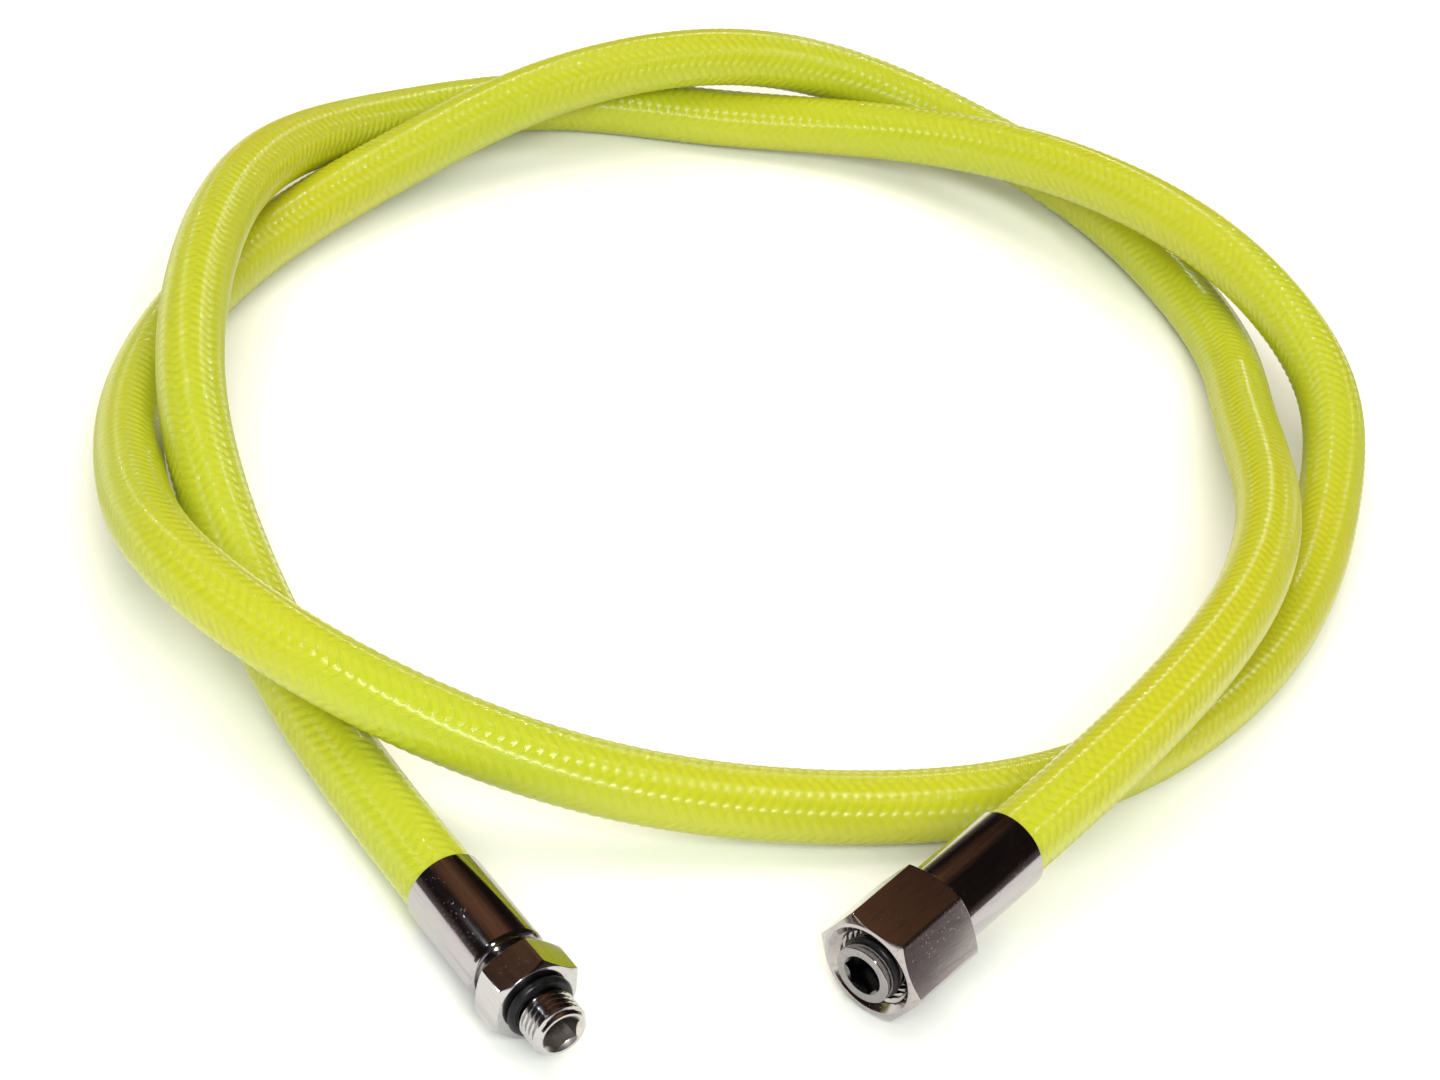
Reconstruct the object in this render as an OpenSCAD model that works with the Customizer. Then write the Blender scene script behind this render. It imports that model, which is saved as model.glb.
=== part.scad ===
// Braided low pressure breathing hose, laid down in a loose coil of two turns.
// One end carries a fixed male stud with a face seal ring, the other end a
// female swivel nut that turns on its stem. Both ends are crimped on.
// Millimetres. +Z up, the hose lies on Z = 0, the two ends point towards -Y.

/* [Hose] */
// Outside diameter of the braided hose
hose_od = 12.7; // [12:0.1:13]
// Diameter of the air passage inside the liner
hose_bore = 6; // [5.8:0.1:6.4]
// Wall thickness of the inner liner
liner_wall = 1.5; // [1.2:0.1:1.6]
// Wall thickness of the reinforcing braid
reinforcement_wall = 0.8; // [0.6:0.1:0.9]

/* [Crimp ferrules] */
// Length of both crimp ferrules
ferrule_len = 20.3; // [19.5:0.1:20.5]
// Outside diameter of the ferrule at the male end
male_ferrule_od = 13.9; // [13.5:0.1:14.4]
// Outside diameter of the ferrule at the swivel end
female_ferrule_od = 14.7; // [14:0.1:15.2]

/* [Male stud end] */
// Width across flats of the fixed hexagon
male_hex_af = 14.3; // [13.5:0.1:15]
// Length of the fixed hexagon
male_hex_len = 6.6; // [6:0.1:7]
// Across flats of the hex key socket in the stud
male_socket_af = 5.8; // [4:0.1:5.8]

/* [Swivel nut end] */
// Width across flats of the swivel nut
nut_af = 18; // [17.5:0.1:18.5]
// Length of the swivel nut
nut_len = 16.8; // [16:0.1:17]
// Turning clearance between the nut and its stem, on the radius
swivel_clearance = 0.06; // [0.03:0.01:0.1]
// Across flats of the hex key socket in the nose
nose_socket_af = 6.2; // [5:0.1:6.2]

/* [Hidden] */
$fn = 96;
eps = 0.01;

// Wall build-up of the hose, with a hair of space between the layers.
layer_gap = 0.05;
hose_r = hose_od / 2;
liner_ri = hose_bore / 2;
liner_ro = liner_ri + liner_wall;
reinforcement_ri = liner_ro + layer_gap;
reinforcement_ro = reinforcement_ri + reinforcement_wall;
cover_ri = reinforcement_ro + layer_gap;
sides = 12;

// The coil is laid out about its own middle, and this brings the middle of
// the whole part, fittings included, to the origin.
centre_shift = [1.51, -0.24, 0];

// Where the hose leaves each ferrule, and which way that end points.
male_mouth = [-34, -135, 7.5];
male_yaw = 311;
male_pitch = 2;
female_mouth = [54.5, -102, 15];
female_yaw = 238;
female_pitch = -8;

// Route of the hose from the male end to the female end. The third number is
// the lift of the hose above lying on the floor.
route = [
    [-80, -80, 4], [-105, -40, 14], [-115, 10, 18], [-115, 60, 13],
    [-95, 105, 1], [-65, 135, 0], [-30, 140, 0], [5, 150, 2],
    [40, 140, 11], [70, 120, 17], [95, 100, 16], [115, 70, 10],
    [115, 40, 2], [110, 5, 0], [95, -35, 0], [65, -75, 0],
    [20, -95, 0], [-20, -110, 8], [-60, -110, 17], [-95, -90, 18],
    [-110, -55, 6], [-120, -15, 0], [-115, 35, 0], [-90, 85, 3],
    [-65, 120, 11], [-30, 145, 16], [0, 160, 10], [30, 160, 3],
    [60, 145, 1], [80, 120, 0], [95, 90, 0], [95, 55, 6],
    [100, 15, 14], [95, -25, 16]];
// Straight lead of the route at each mouth.
lead = 38;

// Crimp: the hose is squeezed a little inside the ferrules.
crimp = 0.96;
crimp_start = 1;
hose_end = 18.5;
ferrule_bore_r = hose_r * crimp + 0.05;
ferrule_mouth_r = hose_r + 0.2;
ferrule_wall_start = 18.6;
lip = 0.9;
lip_inset = 0.55;
rear_break = 0.15;
crimp_gap = 0.02;

// Hose barb inside the liner.
tail_start = 2;
tail_end = 18.7;
tail_r = 2.62;
barb_r = 2.72;
barb_pitch = 3;
barb_count = 5;
air_bore_r = 2;

// Male stud, 3/8 inch by 24 thread.
male_neck_r = 5.2;
male_hex_s = ferrule_len + 2;
male_face_s = male_hex_s + male_hex_len;
relief_r = 3.9;
relief_len = 2.3;
male_major_r = 4.7625;
male_minor_r = 4.11;
male_pitch_len = 1.058;
male_thread_s = male_face_s + relief_len;
male_ridges = 5;
male_end_s = male_thread_s + 5.4;
male_end_chamfer = 0.6;
male_mouth_r = 3.6;
male_mouth_depth = 0.7;
male_socket_depth = 5;
hex_turn_male = 0;

// Seal rings.
male_ring_r = 4.85;
male_ring_cord_r = 0.89;
nose_ring_r = 4.87;
nose_ring_cord_r = 0.75;

// Swivel end. The nut has a 9/16 inch by 18 thread.
nut_s = ferrule_len + 0.5;
nut_front_s = nut_s + nut_len;
nut_wall = 4;
swivel_neck_r = 5.5;
end_play = 0.6;
shoulder_s = nut_s + nut_wall + end_play;
shoulder_len = 1.8;
shoulder_r = 6.25;
nose_r = 5.2;
groove_r = 4.1;
groove_len = 1.9;
nose_flange_len = 1.6;
nose_break = 0.2;
nose_end_s = nut_front_s + 1.5;
groove_s = nose_end_s - nose_flange_len - groove_len;
nose_mouth_r = 3.65;
nose_mouth_depth = 0.4;
nose_socket_depth = 6;
nut_minor_r = 6.49;
nut_major_r = 7.144;
nut_pitch_len = 1.411;
nut_ridges = 6;
nut_relief_r = 7.3;
nut_relief_len = 2.6;
nut_sink_r = 8.15;
nut_sink_depth = 1;
nut_face_r = 8.8;
nut_rear_face_r = 8.6;
hex_turn_nut = 31;

// Thread profile, as parts of the pitch.
crest = 0.16;
flank = 0.3;

// --- route of the hose -------------------------------------------------

function unit(v) = v / norm(v);
function heading(yaw, pitch) =
    [cos(pitch) * cos(yaw), cos(pitch) * sin(yaw), sin(pitch)];
male_axis = heading(male_yaw, male_pitch);
female_axis = heading(female_yaw, female_pitch);

control = concat(
    [male_mouth + lead * male_axis, male_mouth, male_mouth - lead * male_axis],
    [for (p = route) [p[0], p[1], p[2] + hose_r]],
    [female_mouth - lead * female_axis, female_mouth, female_mouth + lead * female_axis]);
spans = len(control) - 3;

// Position and direction on a uniform cubic B-spline.
function spline(i, t) = (pow(1 - t, 3) * control[i]
    + (3 * pow(t, 3) - 6 * pow(t, 2) + 4) * control[i + 1]
    + (-3 * pow(t, 3) + 3 * pow(t, 2) + 3 * t + 1) * control[i + 2]
    + pow(t, 3) * control[i + 3]) / 6;
function slope(i, t) = unit(-pow(1 - t, 2) * control[i]
    + (3 * pow(t, 2) - 4 * t) * control[i + 1]
    + (-3 * pow(t, 2) + 2 * t + 1) * control[i + 2]
    + pow(t, 2) * control[i + 3]);

// Each station is [centre, direction, squeeze].
stations = concat(
    [for (s = [hose_end, crimp_start]) [male_mouth + s * male_axis, -male_axis, crimp]],
    [for (i = [0 : spans - 1], t = [0, 0.5]) [spline(i, t), slope(i, t), 1]],
    [[female_mouth, female_axis, 1]],
    [for (s = [crimp_start, hose_end]) [female_mouth + s * female_axis, female_axis, crimp]]);

function ring_points(st, r) =
    let (side = unit(cross(st[1], [0, 0, 1])), up = cross(side, st[1]))
    [for (k = [0 : sides - 1]) st[0]
        + r * st[2] * (sin(k * 360 / sides) * side - cos(k * 360 / sides) * up)];

// A closed tube wall swept through all the stations.
module hose_layer(ri, ro) {
    n = len(stations);
    inner = n * sides;
    pts = concat(
        [for (st = stations) each ring_points(st, ro)],
        [for (st = stations) each ring_points(st, ri)]);
    wall = [for (j = [0 : n - 2], k = [0 : sides - 1])
        let (a = j * sides + k, b = j * sides + (k + 1) % sides)
        each [[a, b, a + sides], [b, b + sides, a + sides],
            [inner + a, inner + a + sides, inner + b],
            [inner + b, inner + a + sides, inner + b + sides]]];
    last = (n - 1) * sides;
    ends = [for (k = [0 : sides - 1]) let (m = (k + 1) % sides)
        each [[k, inner + k, inner + m], [k, inner + m, m],
            [last + k, last + m, inner + last + m],
            [last + k, inner + last + m, inner + last + k]]];
    polyhedron(points = pts, faces = concat(wall, ends), convexity = 12);
}

// --- placing of the two ends -------------------------------------------
// In an end's own frame z runs outward along its axis from the ferrule's
// rear edge, and x points down.

module centred() {
    translate(centre_shift) children();
}

module at_male_end() {
    centred() translate(male_mouth) rotate([0, 90 - male_pitch, male_yaw]) children();
}

module at_female_end() {
    centred() translate(female_mouth) rotate([0, 90 - female_pitch, female_yaw]) children();
}

// --- shared shapes -----------------------------------------------------

module ferrule(r, front_r) {
    rotate_extrude() polygon([
        [ferrule_mouth_r, 0],
        [r - rear_break, 0],
        [r, rear_break],
        [r, ferrule_len - lip],
        [r - 0.15, ferrule_len - lip / 2],
        [r - lip_inset, ferrule_len],
        [front_r + crimp_gap, ferrule_len],
        [front_r + crimp_gap, ferrule_wall_start],
        [ferrule_bore_r, ferrule_wall_start],
        [ferrule_bore_r, crimp_start]]);
}

// Outer profile of a barbed tail, from its tip up to tail_end.
function barbs() = [for (i = [0 : barb_count - 1])
    let (s = tail_start + i * barb_pitch)
    each [[tail_r - 0.2, s], [barb_r, s + barb_pitch - 0.6], [barb_r, s + barb_pitch - 0.2],
        [tail_r - 0.2, s + barb_pitch - 0.1]]];

// Ridges of a thread, from s upward: rise is +1 outward, -1 inward.
function ridges(s, n, pitch, root_r, crest_r) = [for (i = [0 : n - 1])
    let (z = s + i * pitch)
    each [[root_r, z], [crest_r, z + flank * pitch],
        [crest_r, z + (flank + crest) * pitch], [root_r, z + (2 * flank + crest) * pitch]]];

module hex_block(af, s0, s1, rear_r, front_r, turn) {
    corner = af / 2 / cos(30);
    drop = tan(30);
    intersection() {
        translate([0, 0, s0]) rotate([0, 0, turn]) cylinder(r = corner, h = s1 - s0, $fn = 6);
        rotate_extrude() polygon([
            [0, s0],
            [rear_r, s0],
            [corner + 0.1, s0 + (corner + 0.1 - rear_r) * drop],
            [corner + 0.1, s1 - (corner + 0.1 - front_r) * drop],
            [front_r, s1],
            [0, s1]]);
    }
}

module key_socket(af, depth, end_s, turn, mouth_r, mouth_depth) {
    translate([0, 0, end_s - depth]) rotate([0, 0, turn])
        cylinder(r = af / 2 / cos(30), h = depth + 1, $fn = 6);
    translate([0, 0, end_s - mouth_depth])
        cylinder(r1 = mouth_r - mouth_depth, r2 = mouth_r, h = mouth_depth);
    translate([0, 0, end_s - eps]) cylinder(r = mouth_r, h = 1);
}

module air_bore(end_s) {
    translate([0, 0, tail_start - 1]) cylinder(r = air_bore_r, h = end_s - tail_start + 2);
}

module seal_ring(r, cord_r, s) {
    translate([0, 0, s]) rotate_extrude() translate([r, 0]) circle(r = cord_r, $fn = 32);
}

// --- nodes ---------------------------------------------------------------

// Outer cover, the braided yellow-green jacket.
module outer_braid_cover() {
    color([0.8, 0.86, 0.2]) centred() hose_layer(cover_ri, hose_r);
}

// Reinforcing braid under the cover.
module reinforcement_braid() {
    color([0.85, 0.85, 0.8]) centred() hose_layer(reinforcement_ri, reinforcement_ro);
}

// Airtight inner liner.
module hose_liner() {
    color([0.2, 0.2, 0.22]) centred() hose_layer(liner_ri, liner_ro);
}

// Crimped sleeve at the male end.
module male_ferrule() {
    color([0.75, 0.75, 0.77]) at_male_end() ferrule(male_ferrule_od / 2, male_neck_r);
}

// Barbed stem, fixed hexagon and threaded stud in one piece.
module male_stem() {
    color([0.7, 0.7, 0.73]) at_male_end() difference() {
        union() {
            rotate_extrude() polygon(concat(
                [[0, tail_start]], barbs(),
                [[tail_r, tail_end], [male_neck_r, tail_end],
                    [male_neck_r, male_hex_s + 1], [0, male_hex_s + 1]]));
            hex_block(male_hex_af, male_hex_s, male_face_s,
                male_hex_af / 2 - 0.1, male_hex_af / 2 - 0.1, hex_turn_male);
            rotate_extrude() polygon(concat(
                [[0, male_face_s - 1], [relief_r, male_face_s - 1], [relief_r, male_thread_s]],
                ridges(male_thread_s, male_ridges, male_pitch_len, male_minor_r, male_major_r),
                [[male_minor_r + 0.2, male_end_s - male_end_chamfer / 2],
                    [male_minor_r - 0.1, male_end_s], [0, male_end_s]]));
        }
        air_bore(male_end_s);
        key_socket(male_socket_af, male_socket_depth, male_end_s, hex_turn_male,
            male_mouth_r, male_mouth_depth);
    }
}

// Seal ring against the front face of the fixed hexagon.
module male_o_ring() {
    color([0.08, 0.08, 0.08]) at_male_end()
        seal_ring(male_ring_r, male_ring_cord_r, male_face_s + male_ring_cord_r + eps);
}

// Crimped sleeve at the swivel end.
module female_ferrule() {
    color([0.75, 0.75, 0.77]) at_female_end() ferrule(female_ferrule_od / 2, swivel_neck_r);
}

// Barbed stem with the neck and shoulder that hold the nut, and the nose.
module female_stem() {
    color([0.7, 0.7, 0.73]) at_female_end() difference() {
        rotate_extrude() polygon(concat(
            [[0, tail_start]], barbs(),
            [[tail_r, tail_end], [swivel_neck_r, tail_end],
                [swivel_neck_r, shoulder_s],
                [shoulder_r - 0.2, shoulder_s],
                [shoulder_r, shoulder_s + 0.2],
                [shoulder_r, shoulder_s + shoulder_len - 0.4],
                [nose_r, shoulder_s + shoulder_len],
                [nose_r, groove_s],
                [groove_r, groove_s],
                [groove_r, groove_s + groove_len],
                [nose_r, groove_s + groove_len],
                [nose_r, nose_end_s - nose_break],
                [nose_r - nose_break, nose_end_s],
                [0, nose_end_s]]));
        air_bore(nose_end_s);
        key_socket(nose_socket_af, nose_socket_depth, nose_end_s, hex_turn_nut,
            nose_mouth_r, nose_mouth_depth);
    }
}

// Seal ring in the groove behind the nose.
module nose_o_ring() {
    color([0.08, 0.08, 0.08]) at_female_end()
        seal_ring(nose_ring_r, nose_ring_cord_r, groove_s + groove_len / 2);
}

// Hexagon nut that turns on the female stem.
module swivel_nut() {
    bore_r = swivel_neck_r + swivel_clearance;
    inside_s = nut_s + nut_wall;
    thread_s = inside_s + nut_relief_len;
    thread_end = thread_s + nut_ridges * nut_pitch_len;
    color([0.78, 0.78, 0.8]) at_female_end() difference() {
        hex_block(nut_af, nut_s, nut_front_s, nut_rear_face_r, nut_face_r, hex_turn_nut);
        rotate_extrude() polygon(concat(
            [[0, nut_s - 1], [bore_r, nut_s - 1], [bore_r, inside_s],
                [nut_relief_r, inside_s], [nut_relief_r, thread_s]],
            ridges(thread_s, nut_ridges, nut_pitch_len, nut_major_r, nut_minor_r),
            [[nut_major_r, thread_end],
                [nut_major_r, nut_front_s - nut_sink_depth],
                [nut_sink_r, nut_front_s], [nut_sink_r, nut_front_s + 1],
                [0, nut_front_s + 1]]));
    }
}

outer_braid_cover();
reinforcement_braid();
hose_liner();
male_ferrule();
male_stem();
male_o_ring();
female_ferrule();
female_stem();
nose_o_ring();
swivel_nut();
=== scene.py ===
import math

import bmesh
import bpy
import numpy as np
from mathutils import Matrix, Vector


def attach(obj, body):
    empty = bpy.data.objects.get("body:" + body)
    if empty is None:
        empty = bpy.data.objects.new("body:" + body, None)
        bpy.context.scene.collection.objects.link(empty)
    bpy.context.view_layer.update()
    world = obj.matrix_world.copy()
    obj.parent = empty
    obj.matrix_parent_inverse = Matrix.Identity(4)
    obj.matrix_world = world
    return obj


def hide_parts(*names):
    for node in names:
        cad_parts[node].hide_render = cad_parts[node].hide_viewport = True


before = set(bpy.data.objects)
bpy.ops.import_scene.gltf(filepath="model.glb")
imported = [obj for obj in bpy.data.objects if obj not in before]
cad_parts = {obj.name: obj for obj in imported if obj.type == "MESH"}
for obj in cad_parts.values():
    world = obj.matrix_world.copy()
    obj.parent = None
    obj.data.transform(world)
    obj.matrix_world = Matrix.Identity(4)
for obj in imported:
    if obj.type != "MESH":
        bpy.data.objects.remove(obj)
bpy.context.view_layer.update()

MM = 0.001
TAU = 2 * math.pi

# ---------------------------------------------------------------- camera

SHIFT = np.array([1.51, -0.24, 0.0])    # the part's centring shift, in mm
CAMERA_AT = np.array([-4.0, -531.0, 363.2]) + SHIFT
CAMERA_DOWN = math.radians(35.0)
CAMERA_ROLL = math.radians(-13.28)
FOCAL_PX = 3306.0
IMAGE_W = 1440.0
SENSOR_MM = 36.0


def make_camera():
    fwd = np.array([0.0, math.cos(CAMERA_DOWN), -math.sin(CAMERA_DOWN)])
    right = np.array([1.0, 0.0, 0.0])
    down = -np.cross(right, fwd)
    c, s = math.cos(CAMERA_ROLL), math.sin(CAMERA_ROLL)
    image_x = c * right + s * down
    image_y = -s * right + c * down
    rot = Matrix([[image_x[i], -image_y[i], -fwd[i]] for i in range(3)])
    data = bpy.data.cameras.new("view_camera")
    data.sensor_width = SENSOR_MM
    data.lens = FOCAL_PX / IMAGE_W * SENSOR_MM
    data.clip_start = 0.01
    data.dof.use_dof = False
    cam = bpy.data.objects.new("view_camera", data)
    cam.matrix_world = Matrix.Translation(CAMERA_AT * MM) @ rot.to_4x4()
    bpy.context.scene.collection.objects.link(cam)
    bpy.context.scene.camera = cam


make_camera()
view_settings = bpy.context.scene.view_settings
view_settings.view_transform = "Standard"
view_settings.look = "None"

# ------------------------------------------------------------- hose route

HOSE_R = 6.35
LEAD = 38.0              # mm of straight lead in the route at each mouth
PER_SPAN = 96            # points worked out between two of the route's points
MALE_MOUTH = np.array([-34.0, -135.0, 7.5])
MALE_YAW, MALE_PITCH = 311.0, 2.0
FEMALE_MOUTH = np.array([54.5, -102.0, 15.0])
FEMALE_YAW, FEMALE_PITCH = 238.0, -8.0
# The route of part.scad: x, y and the lift above lying on the floor, in mm.
ROUTE = [
    [-80, -80, 4], [-105, -40, 14], [-115, 10, 18], [-115, 60, 13],
    [-95, 105, 1], [-65, 135, 0], [-30, 140, 0], [5, 150, 2],
    [40, 140, 11], [70, 120, 17], [95, 100, 16], [115, 70, 10],
    [115, 40, 2], [110, 5, 0], [95, -35, 0], [65, -75, 0],
    [20, -95, 0], [-20, -110, 8], [-60, -110, 17], [-95, -90, 18],
    [-110, -55, 6], [-120, -15, 0], [-115, 35, 0], [-90, 85, 3],
    [-65, 120, 11], [-30, 145, 16], [0, 160, 10], [30, 160, 3],
    [60, 145, 1], [80, 120, 0], [95, 90, 0], [95, 55, 6],
    [100, 15, 14], [95, -25, 16]]


def heading(yaw, pitch):
    y, p = math.radians(yaw), math.radians(pitch)
    return np.array([math.cos(p) * math.cos(y), math.cos(p) * math.sin(y), math.sin(p)])


MALE_AXIS = heading(MALE_YAW, MALE_PITCH)
FEMALE_AXIS = heading(FEMALE_YAW, FEMALE_PITCH)


def route_curve(per_span):
    pts = np.array(ROUTE, float) + [0, 0, HOSE_R]
    ctrl = np.vstack([
        MALE_MOUTH + LEAD * MALE_AXIS, MALE_MOUTH, MALE_MOUTH - LEAD * MALE_AXIS, pts,
        FEMALE_MOUTH - LEAD * FEMALE_AXIS, FEMALE_MOUTH, FEMALE_MOUTH + LEAD * FEMALE_AXIS])
    t = np.arange(per_span)[:, None] / per_span
    weights = np.hstack([
        (1 - t) ** 3, 3 * t ** 3 - 6 * t ** 2 + 4, -3 * t ** 3 + 3 * t ** 2 + 3 * t + 1, t ** 3]) / 6
    spans = [weights @ ctrl[i:i + 4] for i in range(len(ctrl) - 3)]
    return np.vstack(spans + [FEMALE_MOUTH[None]]) + SHIFT


def resample(points, step):
    seg = np.linalg.norm(np.diff(points, axis=0), axis=1)
    s = np.concatenate([[0], np.cumsum(seg)])
    count = int(round(s[-1] / step))
    want = np.linspace(0, s[-1], count + 1)
    return np.stack([np.interp(want, s, points[:, k]) for k in range(3)], 1), want


# ------------------------------------------------------------ mesh helpers

def new_object(name, verts_mm, faces):
    mesh = bpy.data.meshes.new(name)
    mesh.from_pydata((np.asarray(verts_mm) * MM).tolist(), [], faces)
    obj = bpy.data.objects.new(name, mesh)
    bpy.context.scene.collection.objects.link(obj)
    return obj


def to_part(local, mouth, yaw, pitch):
    """From an end's own frame, x down and z outward, to the part's frame."""
    y, p = math.radians(yaw), math.radians(pitch)
    down = np.array([math.sin(p) * math.cos(y), math.sin(p) * math.sin(y), -math.cos(p)])
    left = np.array([-math.sin(y), math.cos(y), 0.0])
    axis = heading(yaw, pitch)
    return mouth + SHIFT + local[..., :1] * down + local[..., 1:2] * left + local[..., 2:] * axis


def rounded(profile, n=4):
    """Round the corners of a closed profile of (r, s, fillet radius) points."""
    out = []
    count = len(profile)
    for i in range(count):
        p = np.array(profile[i][:2], float)
        want = profile[i][2] if len(profile[i]) > 2 else 0.0
        a = np.array(profile[i - 1][:2], float) - p
        b = np.array(profile[(i + 1) % count][:2], float) - p
        la, lb = np.linalg.norm(a), np.linalg.norm(b)
        if want <= 0 or la < 1e-9 or lb < 1e-9:
            out += [p] * (1 if want <= 0 else n + 1)
            continue
        a, b = a / la, b / lb
        half = math.acos(max(-1.0, min(1.0, float(a @ b)))) / 2
        reach = min(want / max(math.tan(half), 1e-6), 0.45 * la, 0.45 * lb)
        for k in range(n + 1):
            t = k / n
            q = (1 - t) ** 2 * (p + a * reach) + 2 * t * (1 - t) * p + t ** 2 * (p + b * reach)
            out.append(q)
    return np.array(out)


def revolve(name, profile_at, angles, mouth, yaw, pitch, smooth_angle=32.0, bore=None):
    """A closed skin from one closed profile, (r, s) points, per angle.

    bore is (radius, s): faces inside that radius and past that s take the second material.
    """
    rows = np.array([profile_at(a) for a in angles])
    n, m = rows.shape[:2]
    ang = np.asarray(angles)[:, None]
    local = np.stack([rows[..., 0] * np.cos(ang), rows[..., 0] * np.sin(ang), rows[..., 1]], -1)
    verts = to_part(local, mouth, yaw, pitch).reshape(-1, 3)
    faces = [(i * m + j, i * m + (j + 1) % m, ((i + 1) % n) * m + (j + 1) % m, ((i + 1) % n) * m + j)
             for i in range(n) for j in range(m)]
    obj = new_object(name, verts, faces)
    if bore:
        middle_r = (rows[:, :, 0] + np.roll(rows[:, :, 0], -1, axis=1)) / 2
        middle_s = (rows[:, :, 1] + np.roll(rows[:, :, 1], -1, axis=1)) / 2
        inner = (middle_r < bore[0]) & (middle_s > bore[1])
        obj.data.polygons.foreach_set("material_index", inner.astype(np.int32).reshape(-1))
    bm = bmesh.new()
    bm.from_mesh(obj.data)
    bmesh.ops.remove_doubles(bm, verts=bm.verts, dist=2e-6)
    bmesh.ops.dissolve_degenerate(bm, edges=bm.edges, dist=1e-7)
    bmesh.ops.recalc_face_normals(bm, faces=bm.faces)
    bm.to_mesh(obj.data)
    bm.free()
    obj.data.shade_smooth()
    obj.data.set_sharp_from_angle(angle=math.radians(smooth_angle))
    return obj


def hex_radius(angle, across_flats, turn_deg, round_r):
    """Distance from the axis to a hexagon with softly rounded corners."""
    flat = across_flats / 2
    beta = (angle - math.radians(turn_deg) + math.pi / 6) % (math.pi / 3) - math.pi / 6
    centre = (flat - round_r) / math.cos(math.pi / 6)
    edge = math.atan2(round_r * 0.5, centre + round_r * math.cos(math.pi / 6))
    beta = abs(beta)
    if beta <= edge:
        return centre * math.cos(beta) + math.sqrt(round_r ** 2 - (centre * math.sin(beta)) ** 2)
    return flat / math.cos(math.pi / 6 - beta)


def hex_angles(turn_deg, per_flat=14, per_corner=7, corner_half=4.0):
    """Angles round a hexagon, closer together at its corners."""
    out = []
    for k in range(6):
        mid = turn_deg + 60 * k
        out += list(np.linspace(mid - corner_half, mid + corner_half, per_corner))
        out += list(np.linspace(mid + corner_half, mid + 60 - corner_half, per_flat + 2)[1:-1])
    return np.radians(np.array(out))


def thread_height(x):
    """Height of a thread's section, 0 at the root and 1 at the crest."""
    x = x % 1.0
    d = abs(x - 0.5)
    t = min(1.0, max(0.0, (0.42 - d) / 0.30))
    return t * t * (3 - 2 * t) * 0.35 + t * 0.65


# --------------------------------------------------------------- materials

def new_material(name):
    mat = bpy.data.materials.new(name)
    mat.use_nodes = True
    tree = mat.node_tree
    return mat, tree, tree.nodes["Principled BSDF"]


def maths(tree, op, a, b=None):
    node = tree.nodes.new("ShaderNodeMath")
    node.operation = op
    for i, v in enumerate((a, b)):
        if v is None:
            continue
        if isinstance(v, (int, float)):
            node.inputs[i].default_value = v
        else:
            tree.links.new(v, node.inputs[i])
    return node.outputs[0]


def ramp(tree, source, stops):
    node = tree.nodes.new("ShaderNodeValToRGB")
    elements = node.color_ramp.elements
    while len(elements) < len(stops):
        elements.new(0.5)
    for e, (pos, colour) in zip(elements, stops):
        e.position = pos
        e.color = (*colour, 1)
    tree.links.new(source, node.inputs["Fac"])
    return node.outputs["Color"]


def mix_colour(tree, factor, a, b, blend="MIX"):
    node = tree.nodes.new("ShaderNodeMix")
    node.data_type = "RGBA"
    node.blend_type = blend
    for socket, v in ((node.inputs["Factor"], factor), (node.inputs["A"], a), (node.inputs["B"], b)):
        if isinstance(v, (int, float)):
            socket.default_value = v
        elif isinstance(v, tuple):
            socket.default_value = (*v, 1)
        else:
            tree.links.new(v, socket)
    return node.outputs["Result"]


def noise(tree, vector, scale, detail=3.0, roughness=0.5):
    node = tree.nodes.new("ShaderNodeTexNoise")
    node.inputs["Scale"].default_value = scale
    node.inputs["Detail"].default_value = detail
    node.inputs["Roughness"].default_value = roughness
    tree.links.new(vector, node.inputs["Vector"])
    return node.outputs["Fac"]


def object_coords(tree):
    return tree.nodes.new("ShaderNodeTexCoord").outputs["Object"]


def add_bump(tree, shader, height, strength, distance_m):
    node = tree.nodes.new("ShaderNodeBump")
    node.inputs["Strength"].default_value = strength
    node.inputs["Distance"].default_value = distance_m
    tree.links.new(height, node.inputs["Height"])
    tree.links.new(node.outputs["Normal"], shader.inputs["Normal"])
    return node.outputs["Normal"]


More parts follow.
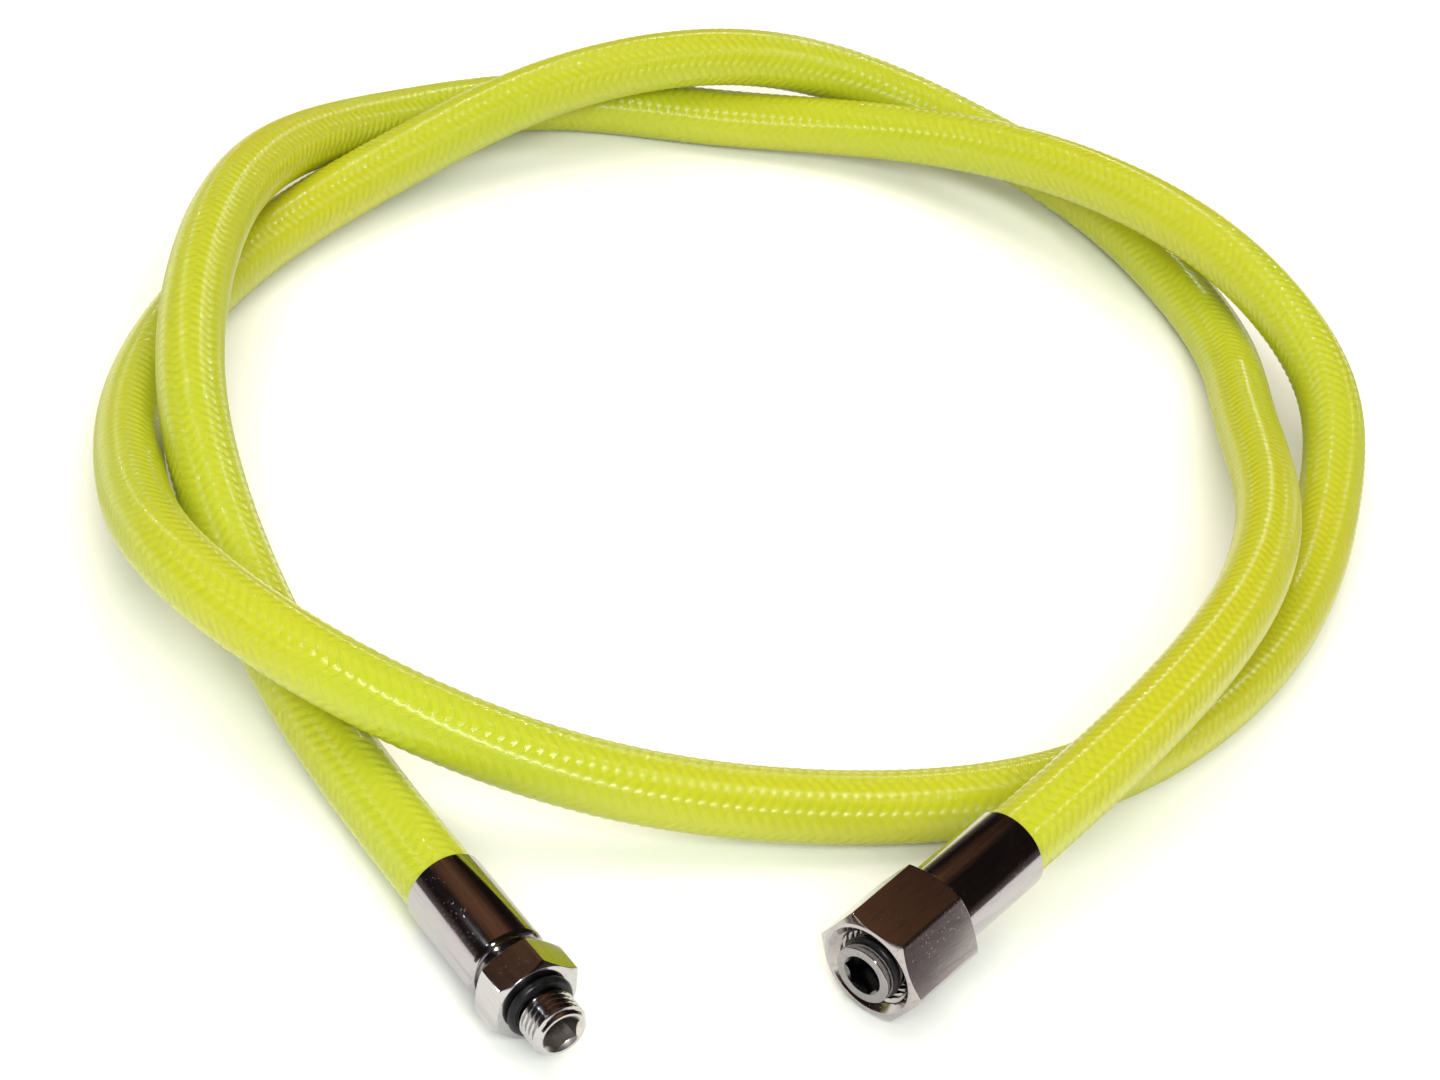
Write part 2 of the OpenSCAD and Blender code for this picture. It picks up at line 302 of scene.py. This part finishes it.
def braid_material():
    """Clear glossy filaments over a fluorescent yellow-green jacket, with painted shade in the bundles'
    grooves and between the filaments.
    """
    mat, tree, shader = new_material("braided_jacket")
    uv = tree.nodes.new("ShaderNodeUVMap")
    uv.uv_map = UV_NAME
    split = tree.nodes.new("ShaderNodeSeparateXYZ")
    tree.links.new(uv.outputs["UV"], split.inputs[0])
    u = maths(tree, "ADD", split.outputs["X"], split.outputs["Y"])
    v = maths(tree, "SUBTRACT", split.outputs["X"], split.outputs["Y"])
    fu, fv = maths(tree, "FLOOR", u), maths(tree, "FLOOR", v)
    order = maths(tree, "FLOORED_MODULO", maths(tree, "ADD", fu, fv), 4.0)
    over = maths(tree, "LESS_THAN", order, 1.5)
    cu, cv = maths(tree, "FRACT", u), maths(tree, "FRACT", v)
    pick = tree.nodes.new("ShaderNodeMix")
    tree.links.new(over, pick.inputs["Factor"])
    tree.links.new(cv, pick.inputs["A"])
    tree.links.new(cu, pick.inputs["B"])
    across = pick.outputs["Result"]
    filament = maths(tree, "ABSOLUTE", maths(tree, "SINE", maths(tree, "MULTIPLY", across, math.pi * 7)))
    crown = maths(tree, "SINE", maths(tree, "MULTIPLY", across, math.pi))
    coords = object_coords(tree)
    broad = noise(tree, coords, 14.0, 2.0)
    fine = noise(tree, coords, 900.0, 2.0)
    hue = ramp(tree, broad, [(0.35, (0.415, 0.465, 0.018)), (0.65, (0.455, 0.455, 0.010))])
    # Painted shade: the grooves at the edges of each bundle are coloured darker and yellower.
    groove_shade = ramp(tree, crown, [(0.0, (0.95, 0.93, 0.80)), (0.30, (1.0, 1.0, 1.0))])
    body = mix_colour(tree, 1.0, hue, groove_shade, "MULTIPLY")
    # Painted shade: the gaps between filaments are mixed towards a dark olive.
    filament_gap_shade = maths(tree, "MULTIPLY", maths(tree, "SUBTRACT", 1.0, filament), 0.10)
    body = mix_colour(tree, filament_gap_shade, body, (0.40, 0.38, 0.008))
    body = mix_colour(tree, maths(tree, "MULTIPLY", fine, 0.12), body, (0.62, 0.64, 0.05))
    tree.links.new(body, shader.inputs["Base Color"])
    rough = maths(tree, "ADD", maths(tree, "MULTIPLY", fine, 0.12), 0.24)
    tree.links.new(rough, shader.inputs["Roughness"])
    shader.inputs["IOR"].default_value = 1.5
    shader.inputs["Coat Weight"].default_value = 0.15
    shader.inputs["Coat Roughness"].default_value = 0.15
    # Fine filaments spread a glint across themselves, so it turns with each bundle.
    shader.inputs["Anisotropic"].default_value = 0.9
    tangent = tree.nodes.new("ShaderNodeTangent")
    tangent.direction_type = "UV_MAP"
    tangent.uv_map = UV_NAME
    tree.links.new(tangent.outputs["Tangent"], shader.inputs["Tangent"])
    turned = maths(tree, "ADD", maths(tree, "MULTIPLY", over, 1.0 - 2 * BUNDLE_CROSS), BUNDLE_CROSS)
    tree.links.new(turned, shader.inputs["Anisotropic Rotation"])
    shader.inputs["Subsurface Weight"].default_value = 0.45
    shader.inputs["Subsurface Scale"].default_value = 0.0018
    shader.inputs["Subsurface Radius"].default_value = (1.0, 0.9, 0.25)
    ridges = maths(tree, "ADD", maths(tree, "MULTIPLY", filament, 0.7),
                   maths(tree, "MULTIPLY", fine, 0.2))
    normal = add_bump(tree, shader, ridges, 0.45, 0.00010)
    tree.links.new(normal, shader.inputs["Coat Normal"])
    return mat


def chrome_material(name, yaw, tint, rough, speck):
    """Chrome plating with hairlines along the fitting, dull patches and fine pits."""
    mat, tree, shader = new_material(name)
    coords = object_coords(tree)
    patch = noise(tree, coords, 160.0, 4.0, 0.6)
    grit = noise(tree, coords, 1500.0, 3.0, 0.6)
    along = tree.nodes.new("ShaderNodeVectorRotate")
    along.rotation_type = "Z_AXIS"
    along.inputs["Angle"].default_value = math.radians(-yaw)
    tree.links.new(coords, along.inputs["Vector"])
    stretch = tree.nodes.new("ShaderNodeMapping")
    stretch.inputs["Scale"].default_value = (45.0, 1300.0, 1300.0)
    tree.links.new(along.outputs["Vector"], stretch.inputs["Vector"])
    scratch = noise(tree, stretch.outputs["Vector"], 1.0, 3.0, 0.7)
    streak = ramp(tree, scratch, [(0.36, (0.45, 0.45, 0.45)), (0.50, (1.0, 1.0, 1.0))])
    cells = tree.nodes.new("ShaderNodeTexVoronoi")
    cells.inputs["Scale"].default_value = 1450.0
    tree.links.new(coords, cells.inputs["Vector"])
    pits = maths(tree, "LESS_THAN", cells.outputs["Distance"], 0.22)
    some = maths(tree, "GREATER_THAN", patch, 0.47)
    pits = maths(tree, "MULTIPLY", maths(tree, "MULTIPLY", pits, some), speck)
    base = mix_colour(tree, maths(tree, "MULTIPLY", patch, 0.35), tint,
                      tuple(0.86 * t for t in tint))
    base = mix_colour(tree, 0.3, base, streak, "MULTIPLY")
    base = mix_colour(tree, pits, base, (0.66, 0.37, 0.20))
    tree.links.new(base, shader.inputs["Base Color"])
    shader.inputs["Metallic"].default_value = 1.0
    r = maths(tree, "ADD", maths(tree, "MULTIPLY", patch, 0.10), rough - 0.04)
    r = maths(tree, "ADD", r, maths(tree, "MULTIPLY", pits, 0.30))
    tree.links.new(r, shader.inputs["Roughness"])
    height = maths(tree, "ADD", maths(tree, "MULTIPLY", scratch, 0.7), maths(tree, "MULTIPLY", grit, 0.3))
    height = maths(tree, "SUBTRACT", height, maths(tree, "MULTIPLY", pits, 0.8))
    add_bump(tree, shader, height, 0.12, 0.00003)
    return mat


def rubber_material():
    mat, tree, shader = new_material("seal_rubber")
    coords = object_coords(tree)
    dust = noise(tree, coords, 700.0, 4.0, 0.6)
    base = ramp(tree, dust, [(0.35, (0.004, 0.004, 0.005)), (0.75, (0.014, 0.014, 0.014))])
    tree.links.new(base, shader.inputs["Base Color"])
    shader.inputs["Specular IOR Level"].default_value = 0.22
    r = maths(tree, "ADD", maths(tree, "MULTIPLY", dust, 0.20), 0.22)
    tree.links.new(r, shader.inputs["Roughness"])
    add_bump(tree, shader, dust, 0.3, 0.00003)
    return mat


def inner_braid_material():
    mat, tree, shader = new_material("inner_braid")
    coords = object_coords(tree)
    wave = tree.nodes.new("ShaderNodeTexWave")
    wave.inputs["Scale"].default_value = 260.0
    wave.inputs["Distortion"].default_value = 2.0
    tree.links.new(coords, wave.inputs["Vector"])
    base = ramp(tree, wave.outputs["Fac"], [(0.0, (0.55, 0.54, 0.48)), (1.0, (0.82, 0.81, 0.75))])
    tree.links.new(base, shader.inputs["Base Color"])
    shader.inputs["Roughness"].default_value = 0.7
    add_bump(tree, shader, wave.outputs["Fac"], 0.5, 0.0002)
    return mat


def liner_material():
    mat, tree, shader = new_material("liner_polymer")
    fleck = noise(tree, object_coords(tree), 300.0, 3.0)
    base = ramp(tree, fleck, [(0.3, (0.015, 0.015, 0.017)), (0.8, (0.05, 0.05, 0.055))])
    tree.links.new(base, shader.inputs["Base Color"])
    r = maths(tree, "ADD", maths(tree, "MULTIPLY", fleck, 0.2), 0.35)
    tree.links.new(r, shader.inputs["Roughness"])
    return mat


# --------------------------------------------------------------- the hose

UV_NAME = "hose_uv"
CARRIERS = 12          # filament bundles each way round
BRAID_PITCH = 2.2      # mm along the hose from one bundle to the next
# Turn, as a part of a circle, from round the hose to across a bundle.
BUNDLE_CROSS = math.atan2(TAU * HOSE_R / CARRIERS, BRAID_PITCH) / TAU
RELIEF = 0.20          # mm, height of the braid
PROUD = 0.08           # mm that the crowns of the braid stand out of the jacket
FLOOR_GAP = 0.02       # mm left under the crowns where the hose lies on the floor
CRIMP = 0.96           # the hose's radius inside a ferrule, as a part of its own
PATH_STRIDE = 8
INSIDE = 12.0          # mm of hose modelled inside each ferrule


def braid_radius(s, turn):
    """Radius of the braided surface at distance s and turn 0..1 round it."""
    u = CARRIERS * turn + s / BRAID_PITCH
    v = CARRIERS * turn - s / BRAID_PITCH
    cu, cv = u - np.floor(u), v - np.floor(v)
    order = np.mod(np.floor(u) + np.floor(v), 4)
    over = order < 1.5

    def bundle(across, along, late):
        # Crowned across; along its float of two crossings it rises and dives.
        crown = np.sin(np.pi * across) ** 0.9
        place = (along + late) / 2
        return crown * (0.55 + 0.45 * np.sin(np.pi * np.clip(place, 0, 1)))
    late_u = (order == 1).astype(float)
    late_v = (order == 3).astype(float)
    high = np.where(over, bundle(cu, cv, late_u), bundle(cv, cu, late_v))
    return HOSE_R + PROUD - RELIEF + RELIEF * high


def make_hose():
    step = 0.275
    around = 84
    curve = route_curve(PER_SPAN)
    lead_in = np.array([MALE_MOUTH + SHIFT + MALE_AXIS * INSIDE])
    lead_out = np.array([FEMALE_MOUTH + SHIFT + FEMALE_AXIS * INSIDE])
    centres, s = resample(np.vstack([lead_in, curve, lead_out]), step)
    tangent = np.gradient(centres, axis=0)
    tangent /= np.linalg.norm(tangent, axis=1)[:, None]
    side = np.cross(tangent, [0, 0, 1])
    side /= np.linalg.norm(side, axis=1)[:, None]
    up = np.cross(side, tangent)
    turn = np.arange(around) / around
    radius = braid_radius(s[:, None], turn[None])
    # Squeezed smoothly under the ferrules.
    depth = np.maximum(INSIDE - s, s - (s[-1] - INSIDE))
    squeeze = 1 - (1 - CRIMP * HOSE_R / (HOSE_R + PROUD)) * np.clip(depth / 1.0 + 0.2, 0, 1)
    radius *= squeeze[:, None]
    ang = TAU * turn
    verts = (centres[:, None] + radius[..., None] * (
        np.sin(ang)[None, :, None] * side[:, None] - np.cos(ang)[None, :, None] * up[:, None]))
    # Where it lies on the floor the crowns are pressed flat.
    verts[..., 2] = np.maximum(verts[..., 2], FLOOR_GAP)
    n, m = radius.shape
    i, j = np.meshgrid(np.arange(n - 1), np.arange(m), indexing="ij")
    a = i * m + j
    b = i * m + (j + 1) % m
    quads = np.stack([a, b, b + m, a + m], -1).reshape(-1, 4)
    x0, x1 = CARRIERS * turn[j], CARRIERS * (turn[j] + 1 / around)
    y0, y1 = s[i] / BRAID_PITCH, s[i + 1] / BRAID_PITCH
    uvs = np.stack([np.stack([x0, y0], -1), np.stack([x1, y0], -1),
                    np.stack([x1, y1], -1), np.stack([x0, y1], -1)], 2).reshape(-1, 2)
    mesh = bpy.data.meshes.new("hose_cover")
    mesh.vertices.add(n * m)
    mesh.vertices.foreach_set("co", (verts * MM).reshape(-1))
    mesh.loops.add(quads.size)
    mesh.loops.foreach_set("vertex_index", quads.reshape(-1))
    mesh.polygons.add(len(quads))
    mesh.polygons.foreach_set("loop_start", np.arange(0, quads.size, 4))
    layer = mesh.uv_layers.new(name=UV_NAME)
    mesh.update(calc_edges=True)
    layer.data.foreach_set("uv", uvs.reshape(-1))
    mesh.shade_smooth()
    obj = bpy.data.objects.new("hose_cover", mesh)
    bpy.context.scene.collection.objects.link(obj)
    # Close both ends, out of sight inside the ferrules.
    bm = bmesh.new()
    bm.from_mesh(mesh)
    bm.verts.ensure_lookup_table()
    bm.faces.new([bm.verts[k] for k in range(m)][::-1])
    bm.faces.new([bm.verts[(n - 1) * m + k] for k in range(m)])
    bmesh.ops.recalc_face_normals(bm, faces=bm.faces)
    bm.to_mesh(mesh)
    bm.free()
    mesh.shade_smooth()
    path = np.vstack([centres[:-1:PATH_STRIDE], centres[-1:]])
    return obj, (path * MM).tolist(), float(s[-1]) * MM


hose, hose_path, hose_length = make_hose()

# ---------------------------------------------------------- the two ends

FERRULE_LEN = 20.3
FERRULE_WALL = 18.6
BORE = HOSE_R * CRIMP + 0.05
AIR_R = 2.0
TAIL = 2.0
MALE = (MALE_MOUTH, MALE_YAW, MALE_PITCH)
FEMALE = (FEMALE_MOUTH, FEMALE_YAW, FEMALE_PITCH)
ROUND = np.radians(np.arange(0, 360, 2.5))


def make_ferrule(name, outer, neck, end):
    section = rounded([
        (HOSE_R + 0.2, 0, 0.05), (outer, 0, 0.22), (outer, FERRULE_LEN - 0.9, 0.5),
        (outer - 0.18, FERRULE_LEN - 0.35, 0.4), (outer - 0.75, FERRULE_LEN, 0.3),
        (neck + 0.02, FERRULE_LEN, 0.08), (neck + 0.02, FERRULE_WALL), (BORE, FERRULE_WALL),
        (BORE, 1.0, 0.2)])
    return revolve(name, lambda a: section, ROUND, *end)


def barb_section():
    """Barbed tail from its tip to the collar, at the same radii as in CAD."""
    out = [(AIR_R, TAIL), (2.42, TAIL)]
    for k in range(5):
        s = TAIL + 3.0 * k
        out += [(2.42, s + 0.02), (2.72, s + 2.4), (2.72, s + 2.8), (2.42, s + 2.9)]
    return out + [(2.62, 18.7)]


HEX_S, HEX_END = 22.3, 28.9
MALE_END = 36.6
MALE_AF, MALE_TURN = 14.3, 0.0
CONE = math.tan(math.radians(30))


def hex_points(angle, af, turn, s0, s1, rear_r, front_r, soft):
    """The chamfered outside of a hexagon at one angle, rear to front."""
    r = hex_radius(angle, af, turn, soft)
    rear = s0 + max(r - rear_r, 0.02) * CONE
    front = s1 - max(r - front_r, 0.02) * CONE
    return [(rear_r, s0, 0.12), (r, rear, 0.16), (r, front, 0.16), (front_r, s1, 0.12)]


def socket_points(angle, af, turn, end_s, mouth_r, depth):
    """A hex key socket from its chamfered mouth down to the air bore."""
    r = hex_radius(angle, af, turn, 0.12)
    return [(mouth_r, end_s, 0.12), (r, end_s - (mouth_r - r), 0.1), (r, end_s - depth),
            (AIR_R, end_s - depth - 0.5)]


def male_thread(angle):
    major, minor, pitch = 4.7625, 4.11, 1.058
    start = HEX_END + 2.3
    rows = []
    for s in np.arange(start, MALE_END - 0.55, pitch / 16):
        h = thread_height((s - start) / pitch - angle / TAU)
        fade = min(1.0, (s - start) / 0.5 + 0.25)
        r = minor + (major - minor) * h * fade
        rows.append((min(r, minor + 0.05 + (MALE_END - s) * 0.85), s))
    return rows


def male_section(angle):
    turn = MALE_TURN
    points = barb_section()
    points += [(5.2, 18.7), (5.2, HEX_S, 0.15)]
    points += hex_points(angle, MALE_AF, turn, HEX_S, HEX_END, 7.05, 7.05, 0.22)
    points += [(3.9, HEX_END, 0.1), (3.9, HEX_END + 2.25)]
    points += male_thread(angle)
    points += [(4.05, MALE_END, 0.1)]
    points += socket_points(angle, 5.8, turn, MALE_END, 3.6, 5.0)
    return rounded(points)


NUT_S, NUT_FRONT = 20.8, 37.6
NOSE_END = NUT_FRONT + 1.5
GROOVE_S = NOSE_END - 3.5
NUT_AF, NUT_TURN = 18.0, 31.0


def female_section(angle):
    shoulder = NUT_S + 4.6
    points = barb_section()
    points += [(5.5, 18.7), (5.5, shoulder), (6.05, shoulder, 0.1), (6.25, shoulder + 0.2, 0.1),
               (6.25, shoulder + 1.4, 0.1), (5.2, shoulder + 1.8, 0.1), (5.2, GROOVE_S, 0.08),
               (4.1, GROOVE_S, 0.1), (4.1, GROOVE_S + 1.9, 0.1), (5.2, GROOVE_S + 1.9, 0.08),
               (5.2, NOSE_END, 0.2)]
    points += socket_points(angle, 6.2, NUT_TURN, NOSE_END, 3.65, 6.0)
    return rounded(points)


def nut_section(angle):
    major, minor, pitch = 7.144, 6.49, 1.411
    inside = NUT_S + 4.0
    start = inside + 2.6
    points = [(5.56, NUT_S, 0.15)]
    points += hex_points(angle, NUT_AF, NUT_TURN, NUT_S, NUT_FRONT, 8.6, 8.8, 0.3)
    points += [(8.15, NUT_FRONT, 0.1), (7.2, NUT_FRONT - 0.98, 0.08)]
    thread = []
    for s in np.arange(start, NUT_FRONT - 1.15, pitch / 16):
        h = thread_height((s - start) / pitch - angle / TAU)
        fade = min(1.0, (NUT_FRONT - 1.0 - s) / 0.6, (s - start) / 0.5 + 0.25)
        thread.append((major - (major - minor) * h * fade, s))
    points += thread[::-1]
    points += [(7.3, start, 0.05), (7.3, inside, 0.2), (5.56, inside, 0.1)]
    return rounded(points)


def make_ring(name, r, cord_r, s, end):
    count = 28
    flash = 0.02    # the moulding line of the ring
    section = [(r + (cord_r + flash * (k % count == 0)) * math.cos(TAU * k / count),
                s + cord_r * math.sin(TAU * k / count)) for k in range(count)]
    section = np.array(section)
    return revolve(name, lambda a: section, ROUND, *end, smooth_angle=60.0)


male_ferrule = make_ferrule("ferrule_stud_end", 6.95, 5.2, MALE)
female_ferrule = make_ferrule("ferrule_swivel_end", 7.35, 5.5, FEMALE)
male_stem = revolve("stud_stem", male_section, hex_angles(MALE_TURN), *MALE,
                    bore=(3.5, MALE_END - 5.2))
female_stem = revolve("swivel_stem", female_section, hex_angles(NUT_TURN), *FEMALE,
                      bore=(3.6, NOSE_END - 6.2))
nut = revolve("swivel_hex_nut", nut_section, hex_angles(NUT_TURN), *FEMALE)
male_ring = make_ring("stud_seal_ring", 4.85, 0.89, HEX_END + 0.9, MALE)
nose_ring = make_ring("nose_seal_ring", 4.87, 0.75, GROOVE_S + 0.95, FEMALE)

# ---------------------------------------------------- finishes and places

stud_ferrule = chrome_material("stud_ferrule_chrome", MALE_YAW, (0.43, 0.41, 0.44), 0.09, 0.45)
swivel_ferrule = chrome_material("swivel_ferrule_chrome", FEMALE_YAW, (0.43, 0.41, 0.44), 0.09, 0.45)
stud_chrome = chrome_material("stud_chrome", MALE_YAW, (0.50, 0.49, 0.51), 0.10, 0.4)
nut_chrome = chrome_material("nut_chrome", FEMALE_YAW, (0.44, 0.41, 0.42), 0.12, 0.45)
# Partly painted highlight: a lighter, warmer copy of the chrome for the stud's hex socket; its rougher
# machined finish is its own.
machined_and_highlight = chrome_material("machined_bore_and_highlight", MALE_YAW, (0.62, 0.58, 0.55), 0.30, 0.2)
# Painted shade: the swivel stem takes a darker copy of the fitting chrome that the stud stem wears.
nose_steel_painted_shade = chrome_material("nose_steel_painted_shade", FEMALE_YAW, (0.30, 0.29, 0.30), 0.14, 0.2)
# Painted shade: a much darker copy of the nose's steel for the inside of its bore.
nose_bore_painted_shade = chrome_material("nose_bore_painted_shade", FEMALE_YAW, (0.16, 0.155, 0.16), 0.16, 0.2)
rubber = rubber_material()

for piece, material, node, slot, body in (
        (hose, braid_material(), "outer_braid_cover", "braid_cover", "hose"),
        (male_ferrule, stud_ferrule, "male_ferrule", "ferrule_chrome", "hose"),
        (male_stem, stud_chrome, "male_stem", "fitting_chrome", "hose"),
        (male_ring, rubber, "male_o_ring", "seal_rubber", "hose"),
        (female_ferrule, swivel_ferrule, "female_ferrule", "ferrule_chrome", "hose"),
        (female_stem, nose_steel_painted_shade, "female_stem", "fitting_chrome", "hose"),
        (nose_ring, rubber, "nose_o_ring", "seal_rubber", "hose"),
        (nut, nut_chrome, "swivel_nut", "nut_chrome", "nut")):
    piece.data.materials.append(material)
    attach(piece, body)
    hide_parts(node)
# The stud's socket faces take that lighter copy: painted highlight on a rougher machined finish.
male_stem.data.materials.append(machined_and_highlight)
# The swivel stem's bore faces take that darker copy: painted shade.
female_stem.data.materials.append(nose_bore_painted_shade)

for node, material in (("reinforcement_braid", inner_braid_material()),
                       ("hose_liner", liner_material())):
    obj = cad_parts[node]
    if not obj.material_slots:
        obj.data.materials.append(material)
    for place in obj.material_slots:
        place.material = material

# ------------------------------------------------------------ the studio

def make_floor():
    half, cells = 2.0, 8
    axis = np.linspace(-half, half, cells + 1)
    verts = [(x, y, 0.0) for y in axis for x in axis]
    w = cells + 1
    faces = [(j * w + i, j * w + i + 1, (j + 1) * w + i + 1, (j + 1) * w + i)
             for j in range(cells) for i in range(cells)]
    mesh = bpy.data.meshes.new("studio_floor")
    mesh.from_pydata(verts, [], faces)
    floor = bpy.data.objects.new("studio_floor", mesh)
    bpy.context.scene.collection.objects.link(floor)
    mat, tree, shader = new_material("studio_paper")
    tone = noise(tree, object_coords(tree), 3.0, 2.0)
    base = ramp(tree, tone, [(0.3, (0.90, 0.90, 0.90)), (0.7, (0.92, 0.92, 0.915))])
    tree.links.new(base, shader.inputs["Base Color"])
    shader.inputs["Roughness"].default_value = 0.9
    shader.inputs["Specular IOR Level"].default_value = 0.1
    mesh.materials.append(mat)


def area_light(name, at, target, size, power, colour=(1, 1, 1), glossy=True):
    data = bpy.data.lights.new(name, "AREA")
    data.shape = "RECTANGLE"
    data.size, data.size_y = size
    data.energy = power
    data.color = colour
    light = bpy.data.objects.new(name, data)
    direction = np.array(at, float) - np.array(target, float)
    light.matrix_world = (Matrix.Translation(at)
                          @ Vector(direction).to_track_quat("Z", "Y").to_matrix().to_4x4())
    light.visible_glossy = glossy
    bpy.context.scene.collection.objects.link(light)
    return light


def make_world():
    world = bpy.data.worlds.new("studio")
    world.use_nodes = True
    tree = world.node_tree
    tree.nodes.clear()
    out = tree.nodes.new("ShaderNodeOutputWorld")
    soft = tree.nodes.new("ShaderNodeBackground")
    soft.inputs["Color"].default_value = (1.0, 0.95, 0.86, 1)
    soft.inputs["Strength"].default_value = 0.62
    room = tree.nodes.new("ShaderNodeBackground")
    room.inputs["Strength"].default_value = 1.0
    # What polished metal sees: a dark brown room with a paler horizon.
    coords = tree.nodes.new("ShaderNodeTexCoord").outputs["Generated"]
    split = tree.nodes.new("ShaderNodeSeparateXYZ")
    tree.links.new(coords, split.inputs[0])
    height = ramp(tree, split.outputs["Z"], [
        (0.0, (0.23, 0.19, 0.19)), (0.10, (0.13, 0.10, 0.095)), (0.28, (0.016, 0.010, 0.008)),
        (1.0, (0.012, 0.008, 0.007))])
    toward = tree.nodes.new("ShaderNodeVectorMath")
    toward.operation = "DOT_PRODUCT"
    tree.links.new(coords, toward.inputs[0])
    toward.inputs[1].default_value = (-0.35, 0.45, 0.82)
    cloud = noise(tree, coords, 5.0, 4.0, 0.65)
    uneven = maths(tree, "MULTIPLY", maths(tree, "SUBTRACT", cloud, 0.5), 0.16)
    glow = ramp(tree, maths(tree, "ADD", toward.outputs["Value"], uneven), [
        (0.84, (0.0, 0.0, 0.0)), (0.91, (0.060, 0.026, 0.011)), (0.96, (0.15, 0.068, 0.030)),
        (1.0, (0.20, 0.095, 0.045))])
    colour = mix_colour(tree, 1.0, height, glow, "ADD")
    tree.links.new(colour, room.inputs["Color"])
    rays = tree.nodes.new("ShaderNodeLightPath")
    blend = tree.nodes.new("ShaderNodeMixShader")
    tree.links.new(rays.outputs["Is Glossy Ray"], blend.inputs["Fac"])
    tree.links.new(soft.outputs[0], blend.inputs[1])
    tree.links.new(room.outputs[0], blend.inputs[2])
    tree.links.new(blend.outputs[0], out.inputs["Surface"])
    bpy.context.scene.world = world


make_floor()
make_world()
area_light("key_softbox", (-0.15, 0.25, 1.0), (0, 0, 0), (1.2, 1.0), 8.0, (1.0, 0.92, 0.78),
           glossy=False)
area_light("front_fill", (0.1, -1.0, 0.8), (0, 0, 0), (1.0, 0.6), 14.0, (0.93, 1.0, 0.95),
           glossy=False)
# Small lamps that only glint: a ring of six round the room for the glossy
# jacket, and two for the metal.
jacket_only = bpy.data.collections.new("glint_on_jacket")
jacket_only.objects.link(hose)
metal_only = bpy.data.collections.new("glint_on_metal")
for piece in (male_ferrule, male_stem, male_ring, female_ferrule, female_stem, nose_ring, nut):
    metal_only.objects.link(piece)
for place, power, receivers in (
        ((0.0, -0.56, 0.47), 2.5, jacket_only), ((-0.75, 0.75, 0.62), 1.3, jacket_only),
        ((0.05, 1.0, 0.50), 1.3, jacket_only), ((0.8, 0.7, 0.60), 1.3, jacket_only),
        ((-0.95, -0.15, 0.75), 1.2, jacket_only), ((0.95, -0.1, 0.75), 1.2, jacket_only),
        ((0.0, -0.56, 0.47), 3.0, metal_only), ((-0.95, -0.15, 0.75), 1.5, metal_only)):
    lamp = area_light("glint", place, (0, 0, 0), (0.05, 0.04), power)
    lamp.visible_diffuse = False
    lamp.light_linking.receiver_collection = receivers
